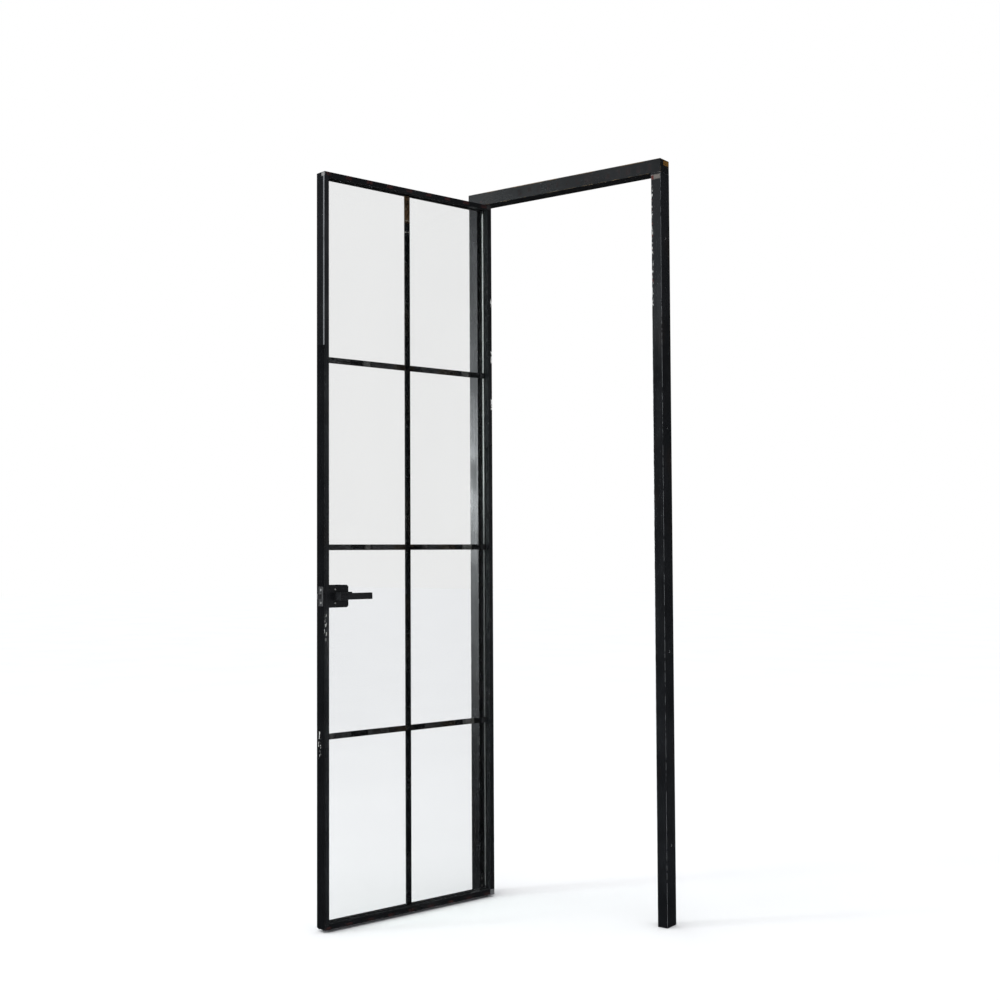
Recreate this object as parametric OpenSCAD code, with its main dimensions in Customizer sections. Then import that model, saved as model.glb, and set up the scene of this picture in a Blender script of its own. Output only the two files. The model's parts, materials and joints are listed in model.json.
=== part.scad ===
// Glass door on corner pivots: a slim aluminium frame with a head and two jambs, and a leaf
// of slim stiles and rails around an insulating glass unit with bars between its panes.
// The origin is the middle of the hinge jamb's foot. +X runs along the frame to the lock
// jamb, +Y from the pull side to the push side, +Z up.

/* [Frame] */
// Overall width of the frame
frame_w = 760; // [650:1:1000]
// Overall height of the frame
frame_h = 2400; // [2100:1:2700]
// Depth of the frame from the pull side to the push side
frame_d = 55; // [55:1:80]
// Width of a jamb seen from the front
jamb_w = 34; // [30:1:45]
// Height of the head seen from the front
head_h = 43; // [34:1:60]
// Wall thickness of the frame tubes
frame_wall = 1.8; // [1.6:0.1:2.5]
// Width of the stop rib on the lock jamb
stop_w = 9; // [8:1:12]
// Thickness of the stop rib on the lock jamb
stop_t = 8; // [6:1:9]

/* [Leaf] */
// Thickness of the leaf
leaf_t = 44; // [44:1:45]
// Width of the stiles and rails seen from the front
stile_w = 16.5; // [16.5:0.5:24]
// Wall thickness of the leaf profiles
leaf_wall = 1.6; // [1.4:0.1:1.8]
// Gap between the leaf and the hinge jamb
gap_hinge = 5.5; // [5.5:0.5:8]
// Gap between the leaf and the lock jamb
gap_lock = 3; // [3:0.5:4]
// Gap between the leaf and the head
gap_top = 3; // [3:0.5:5]
// Gap under the leaf
gap_bottom = 6; // [6:0.5:10]
// Height of the seal strip under the bottom rail
seal_h = 3.5; // [2:0.5:5]
// Angle to which the leaf is stored open
open_angle = 103; // [0:1:110]

/* [Glass] */
// Thickness of each pane
pane_t = 5; // [4:1:5]
// Distance between the panes
air_gap = 11; // [11:1:12]
// Height of a bar between the panes, seen from the front
bar_w = 18; // [12:1:30]
// Depth of a bar between the panes
bar_t = 8; // [6:1:9]
// Number of glass rows that the cross bars make
rows = 4; // [2:1:6]

/* [Lock] */
// Height of the lever's axis above the floor
lever_z = 1028; // [950:1:1100]
// Distance from the leaf's lock edge to the lever's axis
backset = 44; // [44:1:50]
// Distance from the leaf's lock edge to the far side of the lock covers
cover_reach = 88.5; // [86:0.5:95]
// Height of the lock covers
cover_h = 70; // [70:1:90]
// Length of a lever from its latch end to its tip
lever_len = 121; // [100:1:135]
// Height of the lever bar
lever_h = 20.5; // [16:0.5:23]
// How far a lever stands out from its cover
lever_out = 40; // [36:1:50]
// How far the latch bolt stands out of the leaf
latch_out = 10.5; // [8:0.5:10.5]

/* [Hidden] */
$fn = 48;

eps = 0.01;
black = [0.06, 0.06, 0.07];
dark = [0.13, 0.13, 0.14];
silver = [0.70, 0.71, 0.73];
steel = [0.55, 0.56, 0.58];
clear_glass = [0.85, 0.92, 0.94, 0.35];

// frame, measured from the hinge jamb's middle
left_x = -jamb_w / 2;
right_x = left_x + frame_w;
lock_x = right_x - jamb_w;
front_y = -frame_d / 2;
back_y = frame_d / 2;
jamb_h = frame_h - head_h;
fix_r = 3.5;
fix_low = [250, 2150];
fix_mid = [850, 1550];
stop_y = back_y - stop_t;
gasket_gap = 0.3;
end_clear = 0.2;

// pivot axis, from the leaf's hinge end and from its pull face
pivot_e = 12;
pivot_q = 12;
pivot_x = jamb_w / 2 + gap_hinge + pivot_e;
pivot_y = front_y + pivot_q;
pin_r = 5;
top_pin_r = 4;
run_gap = 0.06;

// leaf in its own closed directions, measured from the pivot axis:
// u runs to the lock edge, v from the pull face to the push face, z up
u0 = -pivot_e;
leaf_w = lock_x - gap_lock - (jamb_w / 2 + gap_hinge);
u1 = u0 + leaf_w;
v0 = -pivot_q;
v1 = v0 + leaf_t;
z_seal = gap_bottom;
z0 = gap_bottom + seal_h;
z1 = jamb_h - gap_top;
web_d = 6;
bead_t = 4;
gasket_t = 1;
edge_in = 8;
sealant_w = 2;
spacer_w = stile_w - edge_in - sealant_w;
pull_pane_v = v0 + bead_t;
air_v = pull_pane_v + pane_t;
push_pane_v = air_v + air_gap;
box_v = push_pane_v + pane_t + gasket_t;
shoe_w = 18;
shoe_h = 15;
bar_v = air_v + (air_gap - bar_t) / 2;
mid_u = (u0 + u1) / 2;
row_h = (z1 - z_seal) / rows;

// lock, measured from the leaf's lock edge
hub_u = u1 - backset;
cover_u0 = u1 - cover_reach;
cover_u1 = u1 - stile_w;
notch_u = cover_u0 + spacer_w + sealant_w + 0.5;
notch_h = cover_h - 2 * (spacer_w + sealant_w) - 1;
case_h = 38;
case_wall = 1.5;
case_u0 = notch_u + 1.5;
case_v0 = v0 + bead_t;
case_v1 = v1 - 3;
plate_t = 3;
plate_w = 24;
plate_h = 60;
latch_v = (v0 + v1) / 2;
latch_w = 12;
latch_h = 16;
screw_off = 21;
screw_u = hub_u + 5;
hub_r = 8;
follower_r = 9;
horn_r = 15;
sq = 8;
strike_t = 1.5;

module at_leaf() {
    translate([pivot_x, pivot_y, 0])
        rotate([0, 0, -open_angle])
            children();
}

// box between two corners
module box(a, b) {
    translate(a)
        cube([b[0] - a[0], b[1] - a[1], b[2] - a[2]]);
}

// cylinder along X, Y or Z from a point
module rod_x(p, r, l) {
    translate(p)
        rotate([0, 90, 0])
            cylinder(r = r, h = l);
}
module rod_y(p, r, l) {
    translate(p)
        rotate([-90, 0, 0])
            cylinder(r = r, h = l);
}
module rod_z(p, r, l) {
    translate(p)
        cylinder(r = r, h = l);
}

// pan head screw that points along +Z from the head's seat
module screw(r, l, head_r, head_t) {
    translate([0, 0, -l])
        cylinder(r = r, h = l);
    difference() {
        cylinder(r = head_r, h = head_t);
        translate([0, 0, head_t * 0.4])
            cylinder(r = head_r * 0.5, h = head_t, $fn = 6);
    }
}

// ---- frame ----

module jamb_tube() {
    difference() {
        box([-jamb_w / 2, front_y, 0], [jamb_w / 2, back_y, jamb_h]);
        box([-jamb_w / 2 + frame_wall, front_y + frame_wall, -1],
            [jamb_w / 2 - frame_wall, back_y - frame_wall, jamb_h + 1]);
        for (z = concat(fix_low, fix_mid))
            rod_x([-jamb_w, 0, z], fix_r, 2 * jamb_w);
    }
}

module head() {
    color(black)
        difference() {
            box([left_x, front_y, jamb_h], [right_x, back_y, frame_h]);
            box([left_x - 1, front_y + frame_wall, jamb_h + frame_wall],
                [right_x + 1, back_y - frame_wall, frame_h - frame_wall]);
            for (p = corner_points)
                rod_z([p[0], p[1], jamb_h - 1], 2.3, 4);
            box([top_plate_x0, top_plate_y0, jamb_h - 1],
                [top_plate_x1, top_plate_y1, jamb_h + frame_wall + 1]);
        }
}

// push-in caps that close the cut ends of the head
cap_t = 2;
cap_skirt = 12;

module head_end_caps() {
    color(black)
        for (side = [0, 1])
            translate([side == 0 ? left_x : right_x, 0, 0])
                mirror([side, 0, 0])
                    end_cap();
}

module end_cap() {
    g = frame_wall + end_clear;
    difference() {
        box([0, front_y + g, jamb_h + g], [cap_skirt, back_y - g, frame_h - g]);
        box([cap_t, front_y + g + cap_t, jamb_h + g + cap_t],
            [cap_skirt + 1, back_y - g - cap_t, frame_h - g - cap_t]);
    }
}

module hinge_jamb() {
    color(black)
        difference() {
            jamb_tube();
            box([jamb_w / 2 - leg_t, leg_y0, -1], [jamb_w / 2 + 1, leg_y1, leg_h]);
        }
}

module lock_jamb() {
    color(black)
        difference() {
            union() {
                translate([lock_x + jamb_w / 2, 0, 0])
                    mirror([1, 0, 0])
                        jamb_tube();
                box([lock_x - stop_w, stop_y, 0], [lock_x + eps, back_y, jamb_h]);
            }
            box([lock_x - 1, pocket_y - 9, lever_z - 11], [lock_x + 4, pocket_y + 9, lever_z + 11]);
            for (s = [-1, 1])
                rod_x([lock_x - 1, pocket_y, lever_z + s * 26], 1.8, 5);
        }
}

// places of the screws between the head and the corner blocks
corner_points = [for (x = [0, lock_x + jamb_w / 2]) for (y = [-14, 14]) [x, y]];
block_h = 45;

module frame_corner_blocks() {
    color(silver)
        for (x = [0, lock_x + jamb_w / 2])
            difference() {
                box([x - jamb_w / 2 + frame_wall + end_clear, front_y + frame_wall + end_clear,
                     jamb_h - block_h],
                    [x + jamb_w / 2 - frame_wall - end_clear, back_y - frame_wall - end_clear, jamb_h]);
                for (y = [-14, 14])
                    rod_z([x, y, jamb_h - 26], 2.2, 30);
                rod_y([x, front_y - 1, jamb_h - block_h / 2 - 8], 6, frame_d + 2);
            }
}

module frame_corner_screws() {
    color(silver)
        for (p = corner_points)
            translate([p[0], p[1], jamb_h + frame_wall])
                screw(2.15, 24, 4.2, 2.6);
}

plug_h = 14;

module jamb_foot_plugs() {
    color(dark) {
        foot_plug();
        translate([lock_x + jamb_w / 2, 0, 0])
            mirror([1, 0, 0])
                foot_plug();
    }
}

module foot_plug() {
    difference() {
        box([-jamb_w / 2 + frame_wall + end_clear, front_y + frame_wall + end_clear, 0],
            [jamb_w / 2 - leg_t - end_clear, back_y - frame_wall - end_clear, plug_h]);
        for (y = [-14, 14])
            box([-10, y - 7, 4], [8, y + 7, plug_h + 1]);
    }
}

pocket_y = pivot_y + latch_v;
strike_h = 70;

module strike_plate() {
    color(steel)
        difference() {
            box([lock_x - strike_t, pocket_y - plate_w / 2, lever_z - strike_h / 2],
                [lock_x, pocket_y + plate_w / 2, lever_z + strike_h / 2]);
            box([lock_x - 5, pocket_y - 8, lever_z - 10], [lock_x + 1, pocket_y + 8, lever_z + 10]);
            for (s = [-1, 1])
                rod_x([lock_x - 5, pocket_y, lever_z + s * 26], 1.8, 6);
            for (s = [-1, 1])
                translate([lock_x - strike_t - eps, pocket_y, lever_z + s * 26])
                    rotate([0, 90, 0])
                        cylinder(r1 = 3.3, r2 = 1.8, h = 1.3);
        }
}

module strike_screws() {
    color(silver)
        for (s = [-1, 1])
            translate([lock_x - strike_t, pocket_y, lever_z + s * 26])
                rotate([0, 90, 0])
                    difference() {
                        union() {
                            cylinder(r1 = 3.2, r2 = 1.7, h = 1.3);
                            cylinder(r = 1.7, h = 12);
                        }
                        translate([0, 0, -0.5])
                            cylinder(r = 1.2, h = 1.1, $fn = 6);
                    }
}

module stop_gasket() {
    color(dark)
        box([lock_x - stop_w + 1, pivot_y + v1 + gasket_gap, 2],
            [lock_x - 1, stop_y, jamb_h - 2]);
}

// top pivot: a plate let into the head and the pin that stands down from it
top_plate_x0 = jamb_w / 2 + 6;
top_plate_x1 = pivot_x + 34;
top_plate_y0 = pivot_y - 9;
top_plate_y1 = pivot_y + 11;
top_plate_t = 4;
top_screw_x = [pivot_x + 15, pivot_x + 27];

module top_pivot_plate() {
    color(steel)
        difference() {
            union() {
                box([top_plate_x0 + 0.1, top_plate_y0 + 0.1, jamb_h],
                    [top_plate_x1 - 0.1, top_plate_y1 - 0.1, jamb_h + top_plate_t]);
                rod_z([pivot_x, pivot_y, jamb_h + top_plate_t - eps], 8, 8);
            }
            rod_z([pivot_x, pivot_y, jamb_h - 1], top_pin_r + 0.02, 20);
            for (x = top_screw_x)
                rod_z([x, pivot_y + 1, jamb_h - 1], 2, 8);
            for (x = top_screw_x)
                translate([x, pivot_y + 1, jamb_h - eps])
                    cylinder(r1 = 4.1, r2 = 2, h = 2.1);
        }
}

top_pin_low = z1 - 5.5;

module top_pivot_pin() {
    color(silver)
        rod_z([pivot_x, pivot_y, top_pin_low], top_pin_r, jamb_h + top_plate_t + 8 - top_pin_low);
}

module top_pivot_screws() {
    color(silver)
        for (x = top_screw_x)
            translate([x, pivot_y + 1, jamb_h])
                difference() {
                    union() {
                        cylinder(r1 = 4, r2 = 1.9, h = 2.1);
                        cylinder(r = 1.9, h = 14);
                    }
                    translate([0, 0, -0.5])
                        cylinder(r = 1.4, h = 1.7, $fn = 6);
                }
}

// bottom pivot: an angle let into the hinge jamb's foot, its tongue lies under the leaf
leg_t = 3;
leg_h = 70;
leg_y0 = pivot_y - 9.5;
leg_y1 = pivot_y + 9.5;
tongue_t = 4;
tongue_out = 14;
leg_screws = [30, 54];

module bottom_pivot_bracket() {
    color(steel)
        difference() {
            union() {
                box([jamb_w / 2 - leg_t, leg_y0 + 0.1, 0], [jamb_w / 2, leg_y1 - 0.1, leg_h - 0.1]);
                box([jamb_w / 2 - leg_t, leg_y0 + 0.1, 0],
                    [pivot_x, leg_y1 - 0.1, tongue_t]);
                rod_z([pivot_x, pivot_y, 0], 9.4, tongue_t);
            }
            rod_z([pivot_x, pivot_y, -1], pin_r - 1 + 0.02, 8);
            for (z = leg_screws) {
                rod_x([jamb_w / 2 - 5, pivot_y, z], 2, 8);
                translate([jamb_w / 2 + eps, pivot_y, z])
                    rotate([0, -90, 0])
                        cylinder(r1 = 4.1, r2 = 2, h = 2.1);
            }
        }
}

module bottom_pivot_pin() {
    color(silver)
        union() {
            rod_z([pivot_x, pivot_y, 0], pin_r - 1, tongue_t + 1);
            rod_z([pivot_x, pivot_y, tongue_t], 8.5, gap_bottom - tongue_t - 0.1);
            rod_z([pivot_x, pivot_y, tongue_t], pin_r, gap_bottom + 8 - tongue_t);
        }
}

module bottom_pivot_screws() {
    color(silver)
        for (z = leg_screws)
            translate([jamb_w / 2, pivot_y, z])
                rotate([0, -90, 0])
                    difference() {
                        union() {
                            cylinder(r1 = 4, r2 = 1.9, h = 2.1);
                            cylinder(r = 1.9, h = 12);
                        }
                        translate([0, 0, -0.5])
                            cylinder(r = 1.4, h = 1.7, $fn = 6);
                    }
}

// ---- leaf ----

// section of a leaf profile: w from the outer edge inwards, v from the pull face
module leaf_section() {
    bv = box_v - v0;
    difference() {
        polygon([[0, 0], [web_d, 0], [web_d, bv], [stile_w, bv], [stile_w, leaf_t], [0, leaf_t]]);
        polygon([[leaf_wall, leaf_wall], [web_d - leaf_wall, leaf_wall],
                 [web_d - leaf_wall, bv + leaf_wall], [stile_w - leaf_wall, bv + leaf_wall],
                 [stile_w - leaf_wall, leaf_t - leaf_wall], [leaf_wall, leaf_t - leaf_wall]]);
    }
}

// leaf profile along Z from 0 to l, its outer edge at w = 0, mitred at both ends
module mitred(l) {
    difference() {
        linear_extrude(height = l)
            leaf_section();
        translate([0, -1, 0])
            rotate([0, -45, 0])
                translate([-60, 0, -60])
                    cube([120, leaf_t + 2, 60]);
        translate([0, -1, l])
            rotate([0, 45, 0])
                translate([-60, 0, 0])
                    cube([120, leaf_t + 2, 60]);
    }
}

// the pivot shoe's shape as it is cut from the stile and the rail, at the bottom corner
module shoe_room(z, up, g) {
    translate([0, 0, z])
        mirror([0, 0, up < 0 ? 1 : 0]) {
            box([u0 - 1, v0 - 1, -1], [u0 + shoe_w + g, v1 + 1, web_d + g]);
            box([u0 - 1, box_v - g, -1], [u0 + shoe_w + g, v1 + 1, shoe_h + g]);
        }
}

module hinge_stile() {
    color(black)
        at_leaf()
            difference() {
                translate([u0, v0, z0])
                    mitred(z1 - z0);
                shoe_room(z0, 1, 0.05);
                shoe_room(z1, -1, 0.05);
            }
}

module lock_stile() {
    color(black)
        at_leaf()
            difference() {
                translate([u1, v0, z0])
                    mirror([1, 0, 0])
                        mitred(z1 - z0);
                box([case_u0, case_v0 - 0.3, lever_z - case_h / 2 - 0.3],
                    [u1 - leaf_wall, case_v1 + 0.3, lever_z + case_h / 2 + 0.3]);
                box([u1 - plate_t, latch_v - plate_w / 2 - 0.1, lever_z - plate_h / 2 - 0.1],
                    [u1 + 1, latch_v + plate_w / 2 + 0.1, lever_z + plate_h / 2 + 0.1]);
                for (s = [-1, 1])
                    rod_x([u1 - web_d - 4, latch_v, lever_z + s * screw_face], 1.8, 8);
            }
}

module top_rail() {
    color(black)
        at_leaf()
            difference() {
                translate([u0, v0, z1])
                    rotate([0, 90, 0])
                        mitred(leaf_w);
                shoe_room(z1, -1, 0.05);
            }
}

module bottom_rail() {
    color(black)
        at_leaf()
            difference() {
                translate([u1, v0, z0])
                    rotate([0, -90, 0])
                        mitred(leaf_w);
                shoe_room(z0, 1, 0.05);
            }
}

// leg of a corner cleat in the push side chamber
cleat_g = 0.25;
cleat_l = 55;
chamber_w = stile_w - 2 * leaf_wall - 2 * cleat_g;
chamber_v0 = box_v + leaf_wall + cleat_g;
chamber_v1 = v1 - leaf_wall - cleat_g;

module leaf_corner_cleats() {
    in0 = leaf_wall + cleat_g;
    color(silver)
        at_leaf()
            for (z = [z0, z1])
                translate([u1, 0, z])
                    mirror([0, 0, z > z0 ? 1 : 0]) {
                        box([-in0 - chamber_w, chamber_v0, in0], [-in0, chamber_v1, in0 + cleat_l]);
                        box([-in0 - cleat_l, chamber_v0, in0], [-in0, chamber_v1, in0 + chamber_w]);
                    }
}

// pivot shoe at the bottom hinge corner, with a leg in the stile and one in the rail
module shoe(bore_r, bore_l, low) {
    in0 = leaf_wall + cleat_g;
    difference() {
        union() {
            box([u0, v0, -low], [u0 + shoe_w, v1, web_d]);
            box([u0, box_v, -low], [u0 + shoe_w, v1, shoe_h]);
            box([u0 + in0, chamber_v0, 2], [u0 + in0 + chamber_w, chamber_v1, shoe_h + cleat_l]);
            box([u0 + 2, chamber_v0, in0], [u0 + shoe_w + cleat_l, chamber_v1, in0 + chamber_w]);
        }
        rod_z([0, 0, -low - 1], bore_r, bore_l + 1);
    }
}

module top_pivot_shoe() {
    color(dark)
        at_leaf()
            translate([0, 0, z1])
                mirror([0, 0, 1])
                    shoe(top_pin_r + run_gap, 5.9, 0);
}

module bottom_pivot_shoe() {
    color(steel)
        at_leaf()
            translate([0, 0, z0])
                shoe(pin_r + run_gap, 8.4, seal_h);
}

// outline of the insulating glass unit, moved in by d, with the notch for the lock
module unit_outline(d) {
    a = u0 + edge_in + d;
    b = u1 - edge_in - d;
    c = z0 + edge_in + d;
    e = z1 - edge_in - d;
    n = notch_u - d;
    h = notch_h / 2 + d;
    polygon([[a, c], [b, c], [b, lever_z - h], [n, lever_z - h], [n, lever_z + h],
             [b, lever_z + h], [b, e], [a, e]]);
}

// upright slab of an outline drawn in u and z, from v to v + t
module slab(v, t) {
    translate([0, v + t, 0])
        rotate([90, 0, 0])
            linear_extrude(height = t)
                children();
}

module push_pane() {
    color(clear_glass)
        at_leaf()
            slab(push_pane_v, pane_t)
                unit_outline(0);
}

module pull_pane() {
    color(clear_glass)
        at_leaf()
            slab(pull_pane_v, pane_t)
                unit_outline(0);
}

module glass_spacer() {
    color(silver)
        at_leaf()
            slab(air_v, air_gap)
                difference() {
                    unit_outline(sealant_w);
                    unit_outline(sealant_w + spacer_w);
                }
}

module edge_sealant() {
    color(dark)
        at_leaf()
            slab(air_v, air_gap)
                difference() {
                    unit_outline(0);
                    unit_outline(sealant_w);
                }
}

// hollow bar along its length l, drawn from the origin along X, Z across, Y deep
module grid_bar(a, b, wall) {
    difference() {
        box(a, b);
        box([a[0] + wall[0], a[1] + wall[1], a[2] + wall[2]],
            [b[0] - wall[0], b[1] - wall[1], b[2] - wall[2]]);
    }
}

in_edge = edge_in + sealant_w + spacer_w;

module upright_bar() {
    color(black)
        at_leaf()
            grid_bar([mid_u - bar_w / 2, bar_v, z0 + in_edge],
                     [mid_u + bar_w / 2, bar_v + bar_t, z1 - in_edge], [0.8, 0.8, -1]);
}

module cross_bars() {
    color(black)
        at_leaf()
            for (i = [1:rows - 1])
                for (side = [0, 1])
                    cross_bar(z_seal + i * row_h, side);
}

module cross_bar(z, side) {
    a = side == 0 ? u0 + in_edge : mid_u + bar_w / 2;
    b = side == 0 ? mid_u - bar_w / 2 : u1 - in_edge;
    grid_bar([a, bar_v, z - bar_w / 2], [b, bar_v + bar_t, z + bar_w / 2], [-1, 0.8, 0.8]);
}

// beads on the pull side, cut square against the rail beads
module stile_beads() {
    zl = z0 + stile_w;
    zh = z1 - stile_w;
    color(black)
        at_leaf() {
            bead([u0 + web_d, v0, zl], [u0 + stile_w, v0 + bead_t, zh]);
            bead([u1 - stile_w, v0, zl], [u1 - web_d, v0 + bead_t, lever_z - cover_h / 2]);
            bead([u1 - stile_w, v0, lever_z + cover_h / 2], [u1 - web_d, v0 + bead_t, zh]);
        }
}

module bead(a, b) {
    box(a, b);
}

module rail_beads() {
    color(black)
        at_leaf() {
            bead([u0 + shoe_w + 0.1, v0, z0 + web_d], [u1 - web_d, v0 + bead_t, z0 + stile_w]);
            bead([u0 + shoe_w + 0.1, v0, z1 - stile_w], [u1 - web_d, v0 + bead_t, z1 - web_d]);
            bead([u0 + web_d, v0, z0 + web_d + 0.1], [u0 + shoe_w + 0.1, v0 + bead_t, z0 + stile_w]);
            bead([u0 + web_d, v0, z1 - stile_w], [u0 + shoe_w + 0.1, v0 + bead_t, z1 - web_d - 0.1]);
        }
}

module glazing_gasket() {
    g0 = edge_in;
    g1 = stile_w - 0.5;
    color(dark)
        at_leaf()
            difference() {
                slab(box_v - gasket_t, gasket_t)
                    difference() {
                        translate([u0 + g0, z0 + g0])
                            square([leaf_w - 2 * g0, z1 - z0 - 2 * g0]);
                        translate([u0 + g1, z0 + g1])
                            square([leaf_w - 2 * g1, z1 - z0 - 2 * g1]);
                    }
                box([u1 - 30, v0, lever_z - cover_h / 2], [u1, v1, lever_z + cover_h / 2]);
            }
}

module setting_blocks() {
    color(dark)
        at_leaf()
            for (u = [u0 + leaf_w * 0.15, u1 - leaf_w * 0.15])
                box([u - 40, pull_pane_v, z0 + web_d], [u + 40, box_v - gasket_t, z0 + edge_in]);
}

module bottom_seal() {
    color(dark)
        at_leaf()
            union() {
                box([u0 + shoe_w + 0.2, v0 + 4, z_seal + 1.5], [u1 - 1, v1 - 4, z0]);
                for (v = [v0 + 8, v1 - 12])
                    box([u0 + shoe_w + 0.2, v, z_seal], [u1 - 1, v + 4, z0]);
            }
}

// ---- lock ----

screw_face = 20;

module lock_case() {
    color(steel)
        at_leaf()
            difference() {
                box([case_u0, case_v0, lever_z - case_h / 2],
                    [u1 - plate_t, case_v1, lever_z + case_h / 2]);
                box([case_u0 + case_wall, case_v0 + 8, lever_z - case_h / 2 + case_wall],
                    [u1 - plate_t - 8, case_v1 - 5, lever_z + case_h / 2 - case_wall]);
                box([u1 - 20, latch_v - latch_w / 2 - 0.3, lever_z - latch_h / 2 - 0.3],
                    [u1 + 1, latch_v + latch_w / 2 + 0.3, lever_z + latch_h / 2 + 0.3]);
                rod_y([hub_u, case_v0 - 1, lever_z], follower_r + run_gap, leaf_t);
                for (s = [-1, 1])
                    rod_x([u1 - 12, latch_v, lever_z + s * screw_face], 2, 12);
            }
}

module faceplate() {
    color(steel)
        at_leaf()
            difference() {
                box([u1 - plate_t, latch_v - plate_w / 2, lever_z - plate_h / 2],
                    [u1, latch_v + plate_w / 2, lever_z + plate_h / 2]);
                box([u1 - 9, latch_v - latch_w / 2 - 0.3, lever_z - latch_h / 2 - 0.3],
                    [u1 + 1, latch_v + latch_w / 2 + 0.3, lever_z + latch_h / 2 + 0.3]);
                for (s = [-1, 1]) {
                    rod_x([u1 - 9, latch_v, lever_z + s * screw_face], 1.8, 10);
                    translate([u1 + eps, latch_v, lever_z + s * screw_face])
                        rotate([0, -90, 0])
                            cylinder(r1 = 3.6, r2 = 1.8, h = 2);
                }
            }
}

module faceplate_screws() {
    color(silver)
        at_leaf()
            for (s = [-1, 1])
                translate([u1, latch_v, lever_z + s * screw_face])
                    rotate([0, -90, 0])
                        difference() {
                            union() {
                                cylinder(r1 = 3.5, r2 = 1.7, h = 2);
                                cylinder(r = 1.7, h = 9);
                            }
                            translate([0, 0, -0.5])
                                cylinder(r = 1.2, h = 1.6, $fn = 6);
                        }
}

// cover outline beside the stile, its two far corners cut
module cover_outline(d) {
    c = 5 - d * 0.4;
    a = cover_u0 + d;
    b = cover_u1;
    h = cover_h / 2 - d;
    polygon([[b, lever_z - h], [b, lever_z + h], [a + c, lever_z + h], [a, lever_z + h - c],
             [a, lever_z - h + c], [a + c, lever_z - h]]);
}

module push_cover() {
    cap_v0 = push_pane_v + pane_t;
    color(black)
        at_leaf()
            difference() {
                slab(cap_v0, v1 - cap_v0)
                    cover_outline(0);
                box([case_u0 - 1, cap_v0 - 1, lever_z - case_h / 2 - 0.5],
                    [cover_u1 + 1, case_v1 + 0.2, lever_z + case_h / 2 + 0.5]);
                rod_y([hub_u, cap_v0, lever_z], hub_r + run_gap, leaf_t);
                for (s = [-1, 1])
                    rod_y([screw_u, cap_v0 - 1, lever_z + s * screw_off], 1.75, leaf_t);
            }
}

module pull_cover() {
    color(black)
        at_leaf()
            difference() {
                union() {
                    slab(v0, bead_t)
                        cover_outline(0);
                    box([cover_u1 - eps, v0, lever_z - cover_h / 2],
                        [u1 - web_d, v0 + bead_t, lever_z + cover_h / 2]);
                }
                rod_y([hub_u, v0 - 1, lever_z], hub_r + run_gap, bead_t + 2);
                for (s = [-1, 1])
                    rod_y([screw_u, v0 - 1, lever_z + s * screw_off], 1.75, bead_t + 2);
            }
}

module cover_screws() {
    color(silver)
        at_leaf()
            for (s = [-1, 1]) {
                translate([screw_u, v1, lever_z + s * screw_off])
                    rotate([-90, 0, 0])
                        screw(1.7, leaf_t - 4, 3, 1.4);
                translate([screw_u, v0, lever_z + s * screw_off])
                    rotate([90, 0, 0])
                        screw(1.7, 2.5, 3, 1.4);
            }
}

// ---- lever and latch ----

base_w = 26;
base_h = 24;
bar_depth = 10;
plate_gap = 0.3;

// lever seen on the push side, from its cover's face outwards along +Y, hub at the origin
module lever() {
    u_end = base_w / 2;
    tip = u_end - lever_len;
    difference() {
        union() {
            box([-base_w / 2, plate_gap, -base_h / 2], [base_w / 2, lever_out, base_h / 2]);
            box([tip, lever_out - bar_depth, -lever_h / 2], [0, lever_out, lever_h / 2]);
            rod_y([0, -2.8, 0], hub_r, 4);
        }
        box([-sq / 2 - 0.02, -4, -sq / 2 - 0.02], [sq / 2 + 0.02, 28, sq / 2 + 0.02]);
        box([-base_w / 2 - 2, lever_out - 1.2, -6.5], [base_w / 2 - 3, lever_out + 1, 6.5]);
        rod_z([0, 14, -base_h / 2 - 1], 2.55, base_h / 2 - sq / 2);
    }
}

module push_lever() {
    color(black)
        at_leaf()
            translate([hub_u, v1, lever_z])
                lever();
}

module pull_lever() {
    color(black)
        at_leaf()
            translate([hub_u, v0, lever_z])
                mirror([0, 1, 0])
                    lever();
}

module spindle() {
    color(steel)
        at_leaf()
            box([hub_u - sq / 2, v0 - 27.5, lever_z - sq / 2],
                [hub_u + sq / 2, v1 + 27.5, lever_z + sq / 2]);
}

module follower() {
    color(steel)
        at_leaf()
            translate([hub_u, 0, lever_z])
                difference() {
                    union() {
                        rod_y([0, case_v0 + 0.5, 0], follower_r, case_v1 - case_v0 - 1);
                        box([-2, latch_v - 4, 0], [2, latch_v + 4, horn_r]);
                    }
                    box([-sq / 2 - 0.02, v0, -sq / 2 - 0.02], [sq / 2 + 0.02, v1, sq / 2 + 0.02]);
                }
}

module lever_set_screws() {
    color(dark)
        at_leaf()
            for (v = [v1 + 14, v0 - 14])
                translate([hub_u, v, lever_z - base_h / 2 + 0.6])
                    difference() {
                        cylinder(r = 2.5, h = base_h / 2 - sq / 2 - 1.7);
                        translate([0, 0, -0.5])
                            cylinder(r = 1.3, h = 3, $fn = 6);
                    }
}

// latch bolt with a bevel on the push side and a tail that hooks behind the follower's horn
module latch_bolt() {
    tail_z = 15.6;
    color(silver)
        at_leaf()
            translate([u1, latch_v, lever_z])
                difference() {
                    union() {
                        box([-20, -latch_w / 2, -latch_h / 2], [latch_out, latch_w / 2, latch_h / 2]);
                        box([-26, -3, 7], [-18, 3, tail_z + 1.4]);
                        box([-backset - 7, -3, tail_z], [-18, 3, tail_z + 1.4]);
                        box([-backset - 7, -3, 11.2], [-backset - 3.6, 3, tail_z + 1.4]);
                    }
                    translate([0.6, latch_w / 2, -latch_h])
                        rotate([0, 0, -42])
                            cube([40, 20, 2 * latch_h]);
                }
}

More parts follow.
